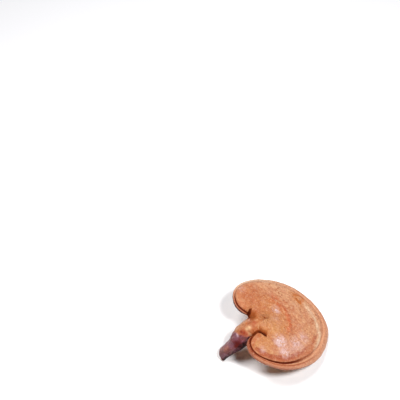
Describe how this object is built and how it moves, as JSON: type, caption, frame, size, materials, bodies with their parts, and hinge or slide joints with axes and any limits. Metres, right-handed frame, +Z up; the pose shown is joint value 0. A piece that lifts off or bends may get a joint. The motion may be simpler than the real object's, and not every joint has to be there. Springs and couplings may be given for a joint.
{
  "type": "reishi mushroom",
  "caption": "Dried reishi mushroom: a kidney-shaped woody cap with a rolled margin, grown from a bent side stem cut off at its end.",
  "frame": {"origin": "middle of the bounding box, at the surface that the mushroom lies on", "axes": "+Z up as it lies; the cap slopes down towards +X, turned a little towards +Y; the stem's cut end is on the -X side"},
  "size_m": [0.1162, 0.1054, 0.0581],
  "materials": {
    "mushroom": "satin, spore-dusted orange-tan crust, red-brown lacquered stem, cream pores"
  },
  "bodies": {
    "root": {"reishi_mushroom": "mushroom"}
  },
  "joints": []
}
